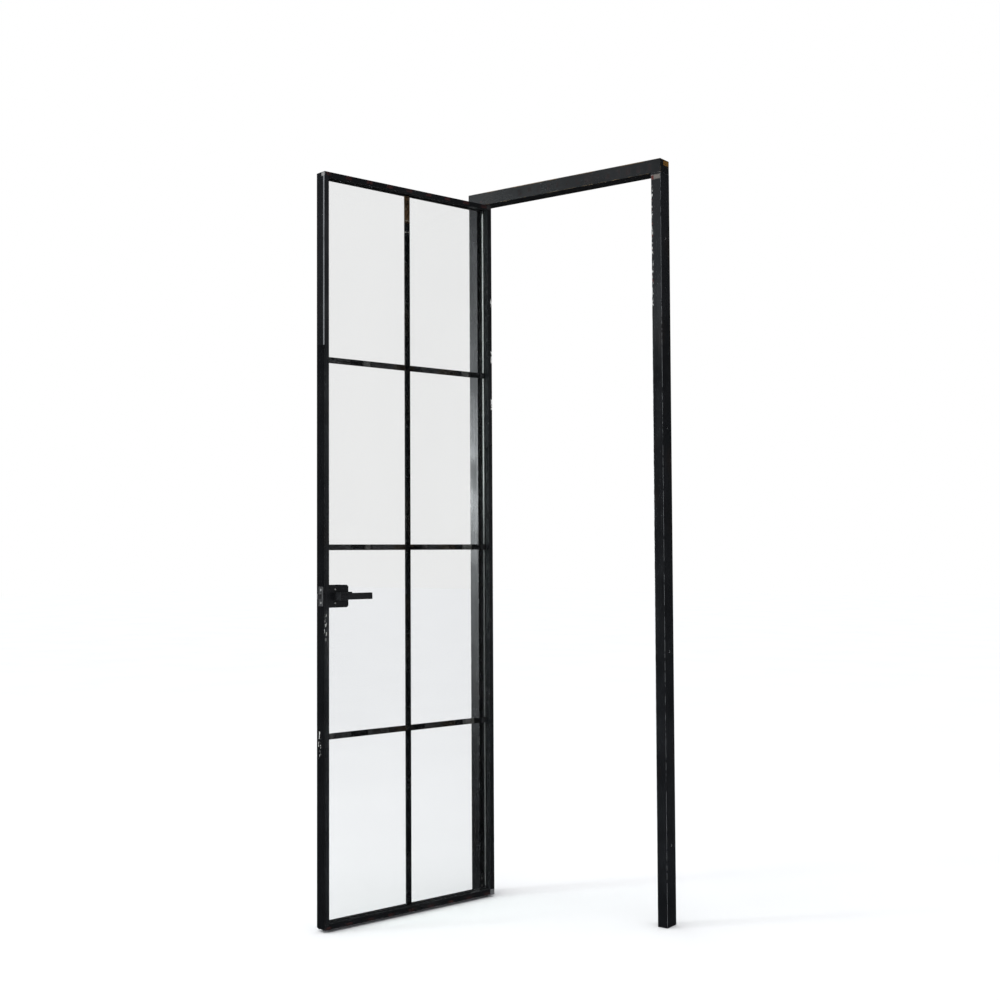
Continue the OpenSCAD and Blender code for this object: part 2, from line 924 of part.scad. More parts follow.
head();
head_end_caps();
hinge_jamb();
lock_jamb();
frame_corner_blocks();
frame_corner_screws();
jamb_foot_plugs();
strike_plate();
strike_screws();
stop_gasket();
top_pivot_plate();
top_pivot_pin();
top_pivot_screws();
bottom_pivot_bracket();
bottom_pivot_pin();
bottom_pivot_screws();
hinge_stile();
lock_stile();
top_rail();
bottom_rail();
leaf_corner_cleats();
top_pivot_shoe();
bottom_pivot_shoe();
push_pane();
pull_pane();
glass_spacer();
edge_sealant();
upright_bar();
cross_bars();
stile_beads();
rail_beads();
glazing_gasket();
setting_blocks();
bottom_seal();
lock_case();
faceplate();
faceplate_screws();
push_cover();
pull_cover();
cover_screws();
push_lever();
pull_lever();
spindle();
follower();
lever_set_screws();
latch_bolt();
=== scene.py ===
import json
import math

import bmesh
import bpy
from mathutils import Matrix, Vector


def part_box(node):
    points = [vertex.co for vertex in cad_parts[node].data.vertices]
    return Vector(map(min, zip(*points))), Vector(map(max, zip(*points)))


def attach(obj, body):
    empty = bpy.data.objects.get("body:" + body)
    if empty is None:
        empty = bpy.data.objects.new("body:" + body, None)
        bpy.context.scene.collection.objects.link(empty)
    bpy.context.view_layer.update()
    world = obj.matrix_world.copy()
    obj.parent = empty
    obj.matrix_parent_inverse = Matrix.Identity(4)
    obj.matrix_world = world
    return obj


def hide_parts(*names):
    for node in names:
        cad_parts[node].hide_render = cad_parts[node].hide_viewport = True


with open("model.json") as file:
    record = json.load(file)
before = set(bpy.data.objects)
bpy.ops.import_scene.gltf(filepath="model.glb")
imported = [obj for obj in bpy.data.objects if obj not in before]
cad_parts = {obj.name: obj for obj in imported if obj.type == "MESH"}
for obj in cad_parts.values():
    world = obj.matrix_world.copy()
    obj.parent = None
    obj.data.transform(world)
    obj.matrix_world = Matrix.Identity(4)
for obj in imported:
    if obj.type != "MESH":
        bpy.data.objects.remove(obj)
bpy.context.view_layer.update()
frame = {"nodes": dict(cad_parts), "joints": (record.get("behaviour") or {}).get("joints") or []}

MM = 0.001
joints = {joint["name"]: joint for joint in frame["joints"]}
pivot = Vector(joints["leaf_swing"]["pos_m"])
ALONG_LEAF = Vector(joints["latch_slide"]["axis"])
ACROSS_LEAF = -Vector(joints["lever_turn"]["axis"])
UP = Vector((0, 0, 1))


def axes_to_matrix(x_axis, y_axis, z_axis, origin):
    """The matrix that takes a piece drawn at the origin to its place."""
    turned = Matrix((x_axis, y_axis, z_axis)).transposed().to_4x4()
    return Matrix.Translation(origin) @ turned


LEAF = axes_to_matrix(ALONG_LEAF, ACROSS_LEAF, UP, pivot)
ROOM = Matrix.Identity(4)
OPEN_ANGLE = math.atan2(-ALONG_LEAF.y, ALONG_LEAF.x)


# ---- places taken from the model ----

def islands(node, place=ROOM):
    """Lowest and highest corner of each separate solid of a node, along the axes of place."""
    shape = merged(node)
    back = place.inverted()
    found, seen = [], set()
    for start in shape.verts:
        if start in seen:
            continue
        group, queue = [], [start]
        seen.add(start)
        while queue:
            vert = queue.pop()
            group.append(back @ vert.co)
            for edge in vert.link_edges:
                other = edge.other_vert(vert)
                if other not in seen:
                    seen.add(other)
                    queue.append(other)
        found.append((Vector(map(min, zip(*group))), Vector(map(max, zip(*group)))))
    shape.free()
    return sorted(found, key=lambda pair: tuple(round(c, 5) for c in pair[0]))


def extent(node, place=ROOM):
    boxes = islands(node, place)
    return (Vector(map(min, zip(*[low for low, high in boxes]))),
            Vector(map(max, zip(*[high for low, high in boxes]))))


def merged(node):
    """The node's own shape with its loose triangles joined and its flat faces made whole."""
    shape = bmesh.new()
    shape.from_mesh(frame["nodes"][node].data)
    bmesh.ops.remove_doubles(shape, verts=shape.verts, dist=0.002 * MM)
    bmesh.ops.dissolve_limit(shape, angle_limit=math.radians(0.6), verts=shape.verts,
                             edges=shape.edges, delimit={"NORMAL"})
    return shape


# ---- finishes ----

def feed(tree, socket, value):
    """Links a socket to another one, or gives it a plain value."""
    if isinstance(value, bpy.types.NodeSocket):
        tree.links.new(value, socket)
    else:
        socket.default_value = value


class Finish:
    """A node material being put together. Lengths in its methods are in metres."""

    def __init__(self, name, on_leaf=False):
        self.material = bpy.data.materials.new(name)
        self.material.use_nodes = True
        self.tree = self.material.node_tree
        self.tree.nodes.clear()
        self.shader = self.node("ShaderNodeBsdfPrincipled")
        self.output = self.node("ShaderNodeOutputMaterial", {"Surface": self.shader.outputs[0]})
        self.point = self.node("ShaderNodeTexCoord").outputs["Object"]
        if on_leaf:
            self.point = self.node("ShaderNodeMapping", {
                "Vector": self.point,
                "Location": LEAF.inverted().translation,
                "Rotation": (0, 0, OPEN_ANGLE)}).outputs[0]
        self.axes = self.node("ShaderNodeSeparateXYZ", {0: self.point}).outputs
        self.colour = None

    def node(self, kind, inputs=None, **settings):
        made = self.tree.nodes.new(kind)
        for key, value in settings.items():
            setattr(made, key, value)
        for key, value in (inputs or {}).items():
            feed(self.tree, made.inputs[key], value)
        return made

    def math(self, how, a, b=0.0):
        return self.node("ShaderNodeMath", {0: a, 1: b}, operation=how).outputs[0]

    def grade(self, value, low, high, out_low=0.0, out_high=1.0):
        """value taken smoothly from low..high to out_low..out_high."""
        return self.node("ShaderNodeMapRange", {
            "Value": value, "From Min": low, "From Max": high, "To Min": out_low,
            "To Max": out_high}, interpolation_type="SMOOTHSTEP").outputs[0]

    def clouds(self, size, detail=2.0, stretch=(1, 1, 1), shift=0.0, rough=0.5):
        """Soft random patches about size across, longer where stretch is above 1."""
        scaled = self.node("ShaderNodeMapping", {
            "Vector": self.point, "Location": (shift, shift * 1.7, shift * 0.6),
            "Scale": tuple(1 / (size * s) for s in stretch)}).outputs[0]
        return self.node("ShaderNodeTexNoise", {
            "Vector": scaled, "Scale": 1.0, "Detail": detail, "Roughness": rough}).outputs[0]

    def blend(self, share, first, second):
        made = self.node("ShaderNodeMix", {"Factor": share}, data_type="RGBA")
        for socket, value in ((made.inputs[6], first), (made.inputs[7], second)):
            plain = not isinstance(value, bpy.types.NodeSocket)
            feed(self.tree, socket, (*value, 1) if plain else value)
        return made.outputs[2]

    def inside(self, soft, **limits):
        """1 between the limits given as x, y or z pairs, fading to 0 over soft."""
        share = None
        for axis, (low, high) in limits.items():
            value = self.axes["xyz".index(axis)]
            for edge, side in ((low, 1), (high, -1)):
                if edge is None:
                    continue
                ramp = self.grade(value, edge - soft * side, edge)
                share = ramp if share is None else self.math("MULTIPLY", share, ramp)
        return share

    def flecks(self, area, size, share, stretch=(1, 1, 1), shift=0.0):
        """Sharp random flecks inside an area, about that share of it."""
        patch = self.clouds(size, 3, stretch, shift)
        level = 0.62 - 0.24 * share
        chips = self.grade(patch, level, level + 0.02)
        return self.math("MULTIPLY", area, chips)

    def mark(self, share, colour):
        self.colour = self.blend(share, self.colour, colour)

    def bumps(self, height, distance, before=None):
        inputs = {"Height": height, "Distance": distance, "Strength": 1.0}
        if before is not None:
            inputs["Normal"] = before
        return self.node("ShaderNodeBump", inputs).outputs[0]

    def done(self, roughness, metallic=0.0, normal=None, **fixed):
        values = {"Base Color": self.colour, "Roughness": roughness, "Metallic": metallic,
                  **fixed}
        if normal is not None:
            values["Normal"] = normal
        for key, value in values.items():
            feed(self.tree, self.shader.inputs[key], value)
        return self.material


BLACK = (0.0072, 0.0078, 0.0088)
CLOUDY_BLACK = (0.0125, 0.0135, 0.0150)
BROWN_BLACK = (0.0165, 0.0118, 0.0100)
RUST_RED = (0.11, 0.028, 0.022)
BARE_METAL = (0.42, 0.43, 0.44)
CHALK = (0.55, 0.55, 0.53)
OLD_GOLD = (0.16, 0.075, 0.012)


def black_coat(name, on_leaf=False, painted_light_lift=1.0):
    """Colour of a satin black coating: cloudy, faintly brown in places, with flecks of dust;
    finish_coat gives its wipe along its length.
    """
    coat = Finish(name, on_leaf)
    cloud = coat.clouds(0.16, 4)
    # painted_light_lift scales the coat's colour per piece. The pieces share one paint, so the
    # lighter and darker copies are painted light and shade.
    coat.colour = coat.blend(coat.grade(cloud, 0.35, 0.7),
                             [c * painted_light_lift for c in BLACK], [c * painted_light_lift for c in CLOUDY_BLACK])
    brown = coat.grade(coat.clouds(0.07, 3, (1, 1, 3), 4.1), 0.56, 0.74)
    coat.mark(coat.math("MULTIPLY", brown, 0.55), BROWN_BLACK)
    dust = coat.flecks(coat.grade(coat.clouds(0.3, 1, shift=8.0), 0.4, 0.6), 0.0035, -0.75,
                       shift=2.0)
    coat.mark(coat.math("MULTIPLY", dust, 0.5), (0.10, 0.10, 0.098))
    return coat


def finish_coat(coat, along=(1, 1, 40), dull=0.0):
    """Gives a black coat its gloss and its fine orange peel, and returns the material."""
    wiped = coat.clouds(0.006, 2, along, 1.3)
    gloss = coat.math("ADD", coat.grade(coat.clouds(0.12, 3, shift=5.2), 0.3, 0.7, 0.22, 0.31),
                     coat.grade(wiped, 0.3, 0.7, -0.02, 0.03))
    gloss = coat.math("ADD", gloss, dull)
    peel = coat.bumps(coat.clouds(0.0016, 2), 0.00002)
    return coat.done(gloss, 0.0, coat.bumps(wiped, 0.000008, peel))


def plain_black(name, on_leaf=False, painted_light_lift=1.0, along=(1, 1, 40), dull=0.0):
    return finish_coat(black_coat(name, on_leaf, painted_light_lift), along, dull)


def head_finish():
    coat = black_coat("head_coating", painted_light_lift=0.8)
    low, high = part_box("head")
    tall = high.z - low.z
    # A band across the middle of the front, darkened in brown dashes: partly brown marks, partly
    # painted shade on the front's lower part.
    shaded_band = coat.inside(0.008, z=(low.z + 0.3 * tall, low.z + 0.62 * tall),
                       x=(low.x + 0.2, high.x - 0.03))
    beat = coat.math("SINE", coat.math("MULTIPLY", coat.axes[0], math.tau / 0.0385))
    dash_pattern = coat.math("MULTIPLY", coat.grade(beat, 0.1, 0.5),
                      coat.grade(coat.clouds(0.006, 3, (1, 1, 2)), 0.38, 0.55))
    dashes_and_shade = coat.math("MULTIPLY", shaded_band, dash_pattern)
    coat.mark(coat.math("MULTIPLY", dashes_and_shade, 0.9), (0.020, 0.011, 0.012))
    # A thin gold line along the front's top edge: partly worn edge, partly a painted highlight
    # along that edge.
    gold_wear_and_highlight = coat.inside(0.0008, z=(high.z - 0.0022, None), x=(low.x + 0.08, high.x - 0.06))
    coat.mark(coat.math("MULTIPLY", gold_wear_and_highlight, coat.grade(coat.clouds(0.03, 3, (2, 1, 1), 2.2),
                                                     0.42, 0.58)), (0.13, 0.072, 0.020))
    scraped = coat.inside(0.006, x=(None, low.x + 0.16), z=(low.z, low.z + 0.012))
    coat.mark(coat.flecks(scraped, 0.009, -0.2, (3, 1, 1)), RUST_RED)
    # Painted shade: the head's underside and the lowest 0.6 mm of its sides are painted darker.
    under = coat.inside(0.001, z=(None, low.z + 0.0006))
    coat.mark(coat.math("MULTIPLY", under, 0.7), (0.003, 0.003, 0.003))
    return finish_coat(coat, (40, 1, 1), coat.math("ADD", 0.03, coat.math(
        "MULTIPLY", dashes_and_shade, 0.40)))


def hinge_jamb_finish():
    return plain_black("hinge_jamb_coating", painted_light_lift=1.3, dull=0.02)


def lock_jamb_finish():
    coat = black_coat("lock_jamb_coating", painted_light_lift=1.0)
    low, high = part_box("lock_jamb")
    face = high.x - (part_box("hinge_jamb")[1].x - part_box("hinge_jamb")[0].x)
    front = low.y
    under_head = coat.inside(0.003, y=(None, front + 0.002), x=(face - 0.001, high.x - 0.003),
                             z=(high.z - 0.019, high.z - 0.008))
    coat.mark(coat.math("MULTIPLY", under_head, coat.grade(coat.clouds(0.006, 3), 0.3, 0.45)),
              (0.17, 0.155, 0.14))
    coat.mark(coat.inside(0.003, y=(None, front + 0.002), x=(face + 0.001, face + 0.008),
                          z=(high.z - 0.019, high.z - 0.010)), RUST_RED)
    inner = coat.inside(0.002, y=(None, front + 0.004), x=(None, face + 0.004),
                        z=(high.z - 0.42, high.z - 0.04))
    coat.mark(coat.flecks(inner, 0.006, 0.35, (1, 1, 2), 3.3), CHALK)
    coat.mark(coat.flecks(inner, 0.007, 0.1, (1, 1, 2), 9.3), RUST_RED)
    smooth = coat.grade(coat.axes[2], 1.95, 1.55, -0.03, -0.17)
    return finish_coat(coat, dull=smooth)


def cap_finish():
    coat = black_coat("head_cap_coating", painted_light_lift=0.9)
    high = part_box("head")[1]
    worn = coat.inside(0.002, x=(high.x - 0.004, None), y=(high.y - 0.034, None),
                       z=(high.z - 0.017, None))
    ragged = coat.grade(coat.clouds(0.012, 3), 0.30, 0.36)
    coat.mark(coat.math("MULTIPLY", worn, ragged), OLD_GOLD)
    return finish_coat(coat)


def lock_stile_finish():
    coat = black_coat("lock_stile_coating", True, 1.7)
    high = extent("lock_stile", LEAF)[1]
    edge = (high.x - 0.0004, None)
    shade_line = 1.81
    chalk_band, scuff_band, stroke_band = (0.53, 0.61), (0.885, 0.972), (0.79, 0.965)
    # Painted shade: the latch edge face is painted darker than the stile's front, far more so
    # below shade_line.
    shaded_edge_below = coat.inside(0.004, x=edge, z=(None, shade_line))
    coat.mark(coat.math("MULTIPLY", shaded_edge_below, 0.8), (0.0022, 0.0022, 0.0026))
    upper = coat.inside(0.004, x=edge, z=(shade_line, None))
    coat.mark(coat.math("MULTIPLY", upper, 0.6), (0.006, 0.006, 0.0065))
    # Painted highlight: a light strip near the push-face corner of the edge face, and a light
    # patch at its top end.
    edge_highlight_strip = coat.inside(0.0006, x=edge, y=(high.y - 0.0075, high.y - 0.0015),
                        z=(shade_line, None))
    coat.mark(coat.math("MULTIPLY", edge_highlight_strip, coat.grade(coat.clouds(0.02, 3, (1, 1, 4)), 0.2, 0.5,
                                                       0.6, 1)), (0.19, 0.195, 0.20))
    top_highlight = coat.inside(0.003, x=edge, y=(high.y - 0.016, high.y - 0.0015), z=(high.z - 0.012, None))
    coat.mark(coat.math("MULTIPLY", top_highlight, coat.grade(coat.clouds(0.005, 2), 0.35, 0.5)),
              (0.30, 0.30, 0.29))
    chips = coat.inside(0.002, x=edge, y=(-0.002, 0.009), z=chalk_band)
    coat.mark(coat.flecks(chips, 0.006, 0.2, (1, 1, 2)), CHALK)
    scuffed = coat.inside(0.003, y=(high.y - 0.0005, None), z=scuff_band,
                          x=(high.x - 0.006, None))
    coat.mark(coat.flecks(scuffed, 0.0042, 0.2, (1, 1, 3), 1.9), CHALK)
    stroked = coat.inside(0.005, y=(high.y - 0.0005, None), z=stroke_band,
                          x=(high.x - 0.016, None))
    strokes = coat.flecks(stroked, 0.0024, 0.15, (1, 1, 14), 5.5)
    coat.mark(coat.math("MULTIPLY", strokes, 0.6), (0.075, 0.075, 0.078))
    coat.mark(coat.flecks(stroked, 0.006, -0.45, (1, 1, 2), 6.4), RUST_RED)
    smooth = coat.math("MULTIPLY", coat.inside(0.0004, x=edge), -0.12)
    return finish_coat(coat, dull=smooth)


def hinge_stile_finish():
    coat = black_coat("hinge_stile_coating", True)
    low, high = extent("hinge_stile", LEAF)
    chipped = ((1.65, 1.685), (1.81, 1.85), (2.0, 2.03))
    for heights in chipped:
        chip = coat.inside(0.0015, x=(None, low.x + 0.0045), y=(high.y - 0.004, None),
                           z=heights)
        coat.mark(coat.flecks(chip, 0.006, 0.75, (1, 1, 2), 2.4), (0.72, 0.72, 0.70))
    return finish_coat(coat)


def rail_finish(name, node, near_top):
    """A rail's coating, with small rusty marks along one long edge."""
    coat = black_coat(name, True)
    low, high = extent(node, LEAF)
    if near_top:
        edge = coat.inside(0.002, y=(high.y - 0.002, None), z=(high.z - 0.011, high.z - 0.003))
    else:
        edge = coat.inside(0.003, y=(high.y - 0.002, None), z=(None, low.z + 0.006))
    beat = coat.math("SINE", coat.math("MULTIPLY", coat.axes[0], math.tau / 0.08))
    rusty = coat.math("MULTIPLY", coat.grade(beat, 0.45, 0.8),
                     coat.grade(coat.clouds(0.008, 3), 0.35, 0.5))
    coat.mark(coat.math("MULTIPLY", coat.math("MULTIPLY", edge, rusty), 0.3), RUST_RED)
    return finish_coat(coat, (40, 1, 1))


def bar_finish():
    """Gloss black of the bars between the panes, with brown and grey patches on it, partly dust
    film and partly painted reflection.
    """
    coat = black_coat("bar_coating", True, 0.8)
    low, high = extent("upright_bar", LEAF)
    level = coat.math("SUBTRACT", 1.0, coat.inside(0.0005, x=(low.x, high.x)))
    # Brown and grey patches on the cross bars: partly dust film, partly painted reflection.
    for shift, share, colour in ((7.7, 0.47, (0.040, 0.041, 0.042)),
                                 (3.0, 0.56, (0.024, 0.017, 0.010)),
                                 (12.4, 0.63, (0.10, 0.10, 0.096))):
        film_and_reflection = coat.grade(coat.clouds(0.10, 1, (1, 80, 80), shift), share, share + 0.02)
        coat.mark(coat.math("MULTIPLY", coat.math("MULTIPLY", film_and_reflection, level), 0.7), colour)
    smear = coat.grade(coat.clouds(0.09, 2, (1, 1, 2), 5.0), 0.56, 0.70)
    coat.mark(coat.math("MULTIPLY", smear, 0.6), (0.016, 0.013, 0.010))
    brown = coat.inside(0.012, x=(low.x, high.x), z=(high.z - 0.085, None))
    coat.mark(coat.math("MULTIPLY", brown, coat.grade(coat.clouds(0.02, 3), 0.2, 0.55, 0.5, 1)),
              (0.060, 0.034, 0.016))
    for drop in (0.084, 0.122):
        streak = coat.inside(0.0012, x=(low.x, high.x),
                             z=(high.z - drop - 0.0014, high.z - drop + 0.0014))
        coat.mark(coat.math("MULTIPLY", streak, coat.grade(coat.clouds(0.006, 2), 0.42, 0.55)),
                  (0.16, 0.155, 0.14))
    return coat.done(coat.grade(coat.clouds(0.05, 2), 0.3, 0.7, 0.16, 0.3), 0.0,
                     coat.bumps(coat.clouds(0.002, 2), 0.00002))


def worn_arris(name, on_leaf, bareness, metal=BARE_METAL):
    """The coating on a sharp edge, rubbed through to the metal here and there."""
    coat = black_coat(name, on_leaf, 1.4)
    rubbed = coat.clouds(0.03, 5, (1, 1, 1), 0.4, 0.7)
    bare = coat.grade(rubbed, 0.66 - 0.3 * bareness, 0.71 - 0.3 * bareness)
    coat.mark(bare, metal)
    return coat.done(coat.grade(bare, 0, 1, 0.42, 0.35), coat.math("MULTIPLY", bare, 0.7),
                     coat.bumps(coat.clouds(0.0015, 2), 0.00003))


def mill_metal(name, colour, on_leaf, roughness, along=(1, 1, 60), metallic=1.0):
    """Rolled or drawn metal with fine lines along its length and dull spots."""
    metal = Finish(name, on_leaf)
    lines = metal.clouds(0.0012, 3, along)
    spots = metal.clouds(0.018, 4, shift=3.0)
    metal.colour = metal.blend(metal.grade(lines, 0.3, 0.7), [c * 0.84 for c in colour], colour)
    metal.mark(metal.grade(spots, 0.58, 0.75, 0, 0.5), [c * 0.55 for c in colour])
    rough = metal.math("ADD", metal.grade(spots, 0.3, 0.7, roughness - 0.06, roughness + 0.08),
                      metal.grade(lines, 0.3, 0.7, -0.04, 0.04))
    return metal.done(rough, metallic, metal.bumps(lines, 0.000015))


def spacer_finish():
    """Mill aluminium of the spacer, smeared with sealant along its level bars, with painted shade
    darkening it low down.
    """
    metal = Finish("spacer_aluminium", True)
    low, high = extent("glass_spacer", LEAF)
    lines = metal.clouds(0.0012, 3, (1, 1, 60))
    spots = metal.clouds(0.05, 3, (1, 1, 4), 3.0)
    metal.colour = metal.blend(metal.grade(lines, 0.3, 0.7), (0.42, 0.43, 0.415),
                               (0.52, 0.53, 0.515))
    # Painted shade: the spacer's colour darkens from z 1.48 m down to z 1.12 m and below.
    dull = metal.grade(metal.axes[2], 1.48, 1.12, 0.0, 0.85)
    metal.mark(dull, (0.045, 0.045, 0.046))
    metal.mark(metal.grade(spots, 0.56, 0.74, 0, 0.4), (0.16, 0.16, 0.155))
    for smeared in ({"z": (high.z - 0.014, None)}, {"z": (None, low.z + 0.014)},
                    {"y": (None, low.y + 0.0016)}, {"y": (high.y - 0.0016, None)}):
        metal.mark(metal.inside(0.0008, **smeared), (0.010, 0.010, 0.011))
    return metal.done(metal.grade(spots, 0.3, 0.7, 0.42, 0.55), 0.35,
                      metal.bumps(lines, 0.000015))


def soft_black(name, colour, on_leaf, roughness, grain=0.0012):
    """Matt rubber or moulded plastic: fine grain, greyer where dust clings."""
    rubber = Finish(name, on_leaf)
    dust = rubber.grade(rubber.clouds(0.05, 4, (1, 1, 3)), 0.5, 0.75)
    rubber.colour = rubber.blend(dust, colour, [c * 2.2 for c in colour])
    fine = rubber.clouds(grain, 3)
    return rubber.done(rubber.grade(fine, 0.3, 0.7, roughness - 0.08, roughness + 0.08), 0.0,
                       rubber.bumps(fine, 0.00004))


def clear_pane():
    """Clear float glass with the faintest wipe marks, and it lets the lamps through."""
    glass = Finish("clear_float_glass", True)
    glass.colour = glass.blend(glass.grade(glass.clouds(0.4, 2), 0.3, 0.7),
                               (0.932, 0.935, 0.934), (0.939, 0.942, 0.941))
    wipes = glass.clouds(0.05, 3, (3, 1, 1))
    material = glass.done(glass.grade(wipes, 0.55, 0.8, 0.0, 0.006), 0.0,
                          **{"Transmission Weight": 1.0, "IOR": 1.3})
    path = glass.node("ShaderNodeLightPath")
    through = glass.node("ShaderNodeBsdfTransparent", {"Color": (0.9, 0.93, 0.92, 1)})
    mixed = glass.node("ShaderNodeMixShader", {
        0: path.outputs["Is Shadow Ray"], 1: glass.shader.outputs[0], 2: through.outputs[0]})
    glass.tree.links.new(mixed.outputs[0], glass.output.inputs["Surface"])
    return material


# ---- making pieces ----

def new_piece(name, mesh, body, nodes):
    piece = bpy.data.objects.new(name, mesh)
    bpy.context.scene.collection.objects.link(piece)
    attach(piece, body)
    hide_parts(*nodes)


def baked(shape_or_mesh, materials, modifiers):
    """Runs modifiers on a mesh in a throwaway object and gives the plain result."""
    if isinstance(shape_or_mesh, bmesh.types.BMesh):
        mesh = bpy.data.meshes.new("work")
        shape_or_mesh.to_mesh(mesh)
        shape_or_mesh.free()
    else:
        mesh = shape_or_mesh
    for material in materials:
        mesh.materials.append(material)
    work = bpy.data.objects.new("work", mesh)
    bpy.context.scene.collection.objects.link(work)
    for add in modifiers:
        add(work)
    bpy.context.view_layer.update()
    evaluated = work.evaluated_get(bpy.context.evaluated_depsgraph_get())
    result = bpy.data.meshes.new_from_object(evaluated)
    bpy.data.objects.remove(work)
    return result


def arris(width, segments=2, material=-1, angle=30, smooth=True):
    """Rounds the sharp edges of the piece it is put on, and keeps its flat faces flat."""
    def add(work):
        if smooth:
            work.data.shade_smooth()
        rounding = work.modifiers.new("arris", "BEVEL")
        rounding.width = width
        rounding.segments = segments
        rounding.limit_method = "ANGLE"
        rounding.angle_limit = math.radians(angle)
        rounding.use_clamp_overlap = False
        rounding.material = material
        if smooth:
            even = work.modifiers.new("even", "WEIGHTED_NORMAL")
            even.mode = "FACE_AREA"
            even.weight = 100
    return add


def from_node(node, name, body, slot, finish, edge=None, width=0.5 * MM, segments=2):
    """A piece with the node's own shape, its arrises rounded and in their own finish."""
    materials = [finish] if edge is None else [finish, edge]
    mesh = baked(merged(node), materials, [
        arris(width, segments, -1 if edge is None else 1, smooth=slot != "clear_glass")])
    mesh.name = name
    new_piece(name, mesh, body, [node])


# ---- node trees for what repeats ----

class Recipe:
    """A geometry node tree being put together, with named inputs for its sizes."""

    def __init__(self, name, sizes):
        self.tree = bpy.data.node_groups.new(name, "GeometryNodeTree")
        face = self.tree.interface
        face.new_socket(name="Geometry", in_out="INPUT", socket_type="NodeSocketGeometry")
        self.keys = {}
        for size in sizes:
            self.keys[size] = face.new_socket(name=size, in_out="INPUT",
                                              socket_type="NodeSocketFloat").identifier
        face.new_socket(name="Geometry", in_out="OUTPUT", socket_type="NodeSocketGeometry")
        self.given = self.tree.nodes.new("NodeGroupInput").outputs

    def node(self, kind, inputs=None, **settings):
        made = self.tree.nodes.new(kind)
        for key, value in settings.items():
            setattr(made, key, value)
        for key, value in (inputs or {}).items():
            for one in value if isinstance(value, list) else [value]:
                feed(self.tree, made.inputs[key], one)
        return made

    def math(self, how, a, b=0.0):
        return self.node("ShaderNodeMath", {0: a, 1: b}, operation=how).outputs[0]

    def point(self, x=0.0, y=0.0, z=0.0):
        return self.node("ShaderNodeCombineXYZ", {0: x, 1: y, 2: z}).outputs[0]

    def move(self, geometry, place):
        return self.node("GeometryNodeTransform",
                         {"Geometry": geometry, "Translation": place}).outputs[0]

    def end(self, geometry, material):
        real = self.node("GeometryNodeRealizeInstances", {"Geometry": geometry}).outputs[0]
        done = self.node("GeometryNodeSetMaterial",
                         {"Geometry": real, "Material": material}).outputs[0]
        self.node("NodeGroupOutput", {0: done})

    def modifier(self, values):
        """A function that puts the tree on a piece with these sizes."""
        def add(work):
            made = work.modifiers.new(self.tree.name, "NODES")
            made.node_group = self.tree
            for size, value in values.items():
                made[self.keys[size]] = value
        return add


def perforated_bar_recipe(material, hole_material):
    """A spacer bar along X, its top face along +Z pierced by two rows of small slots."""
    recipe = Recipe("perforated_bar", ["Length", "Width", "Height", "Pitch", "Slot Length",
                                       "Slot Width", "Slot Depth"])
    given = recipe.given
    steps = recipe.math("MAXIMUM", recipe.math("ROUND", recipe.math(
        "DIVIDE", given["Length"], given["Pitch"])), 1.0)
    grid = recipe.node("GeometryNodeMeshGrid", {
        "Size X": given["Length"], "Size Y": given["Width"],
        "Vertices X": recipe.math("ADD", steps, 1.0), "Vertices Y": 6}).outputs["Mesh"]
    raised = recipe.node("GeometryNodeExtrudeMesh", {
        "Mesh": grid, "Offset": recipe.point(0, 0, 1), "Offset Scale": given["Height"],
        "Individual": False})
    across = recipe.node("ShaderNodeSeparateXYZ", {
        0: recipe.node("GeometryNodeInputPosition").outputs[0]}).outputs[1]
    from_row = recipe.math("ABSOLUTE", recipe.math(
        "SUBTRACT", recipe.math("ABSOLUTE", across),
        recipe.math("MULTIPLY", given["Width"], 0.2)))
    in_row = recipe.math("LESS_THAN", from_row, recipe.math("MULTIPLY", given["Width"], 0.05))
    pierced = recipe.node("FunctionNodeBooleanMath", {0: raised.outputs["Top"], 1: in_row},
                          operation="AND").outputs[0]
    flat = recipe.node("GeometryNodeExtrudeMesh", {
        "Mesh": raised.outputs["Mesh"], "Selection": pierced, "Offset Scale": 0.0,
        "Individual": True})
    cell_length = recipe.math("DIVIDE", given["Length"], steps)
    cell_width = recipe.math("DIVIDE", given["Width"], 5.0)
    narrow = flat.outputs["Mesh"]
    for size, cell, axis in (("Slot Length", cell_length, (1, 0, 0)),
                             ("Slot Width", cell_width, (0, 1, 0))):
        narrow = recipe.node("GeometryNodeScaleElements", {
            "Geometry": narrow, "Selection": flat.outputs["Top"],
            "Scale": recipe.math("DIVIDE", given[size], cell), "Axis": axis},
            domain="FACE", scale_mode="SINGLE_AXIS").outputs[0]
    sunk = recipe.node("GeometryNodeExtrudeMesh", {
        "Mesh": narrow, "Selection": flat.outputs["Top"], "Offset": recipe.point(0, 0, -1),
        "Offset Scale": given["Slot Depth"], "Individual": True})
    in_hole = recipe.node("FunctionNodeBooleanMath", {
        0: sunk.outputs["Top"], 1: sunk.outputs["Side"]}, operation="OR").outputs[0]
    under = recipe.node("GeometryNodeFlipFaces", {"Mesh": grid}).outputs[0]
    under = recipe.node("GeometryNodeSetMaterial",
                        {"Geometry": under, "Material": material}).outputs[0]
    upper = recipe.node("GeometryNodeSetMaterial",
                        {"Geometry": sunk.outputs["Mesh"], "Material": material}).outputs[0]
    upper = recipe.node("GeometryNodeSetMaterial", {
        "Geometry": upper, "Selection": in_hole, "Material": hole_material}).outputs[0]
    whole = recipe.node("GeometryNodeJoinGeometry", {0: [under, upper]}).outputs[0]
    closed = recipe.node("GeometryNodeMergeByDistance", {
        "Geometry": whole, "Distance": 0.001 * MM}).outputs[0]
    real = recipe.node("GeometryNodeRealizeInstances", {"Geometry": closed}).outputs[0]
    recipe.node("NodeGroupOutput", {0: real})
    return recipe


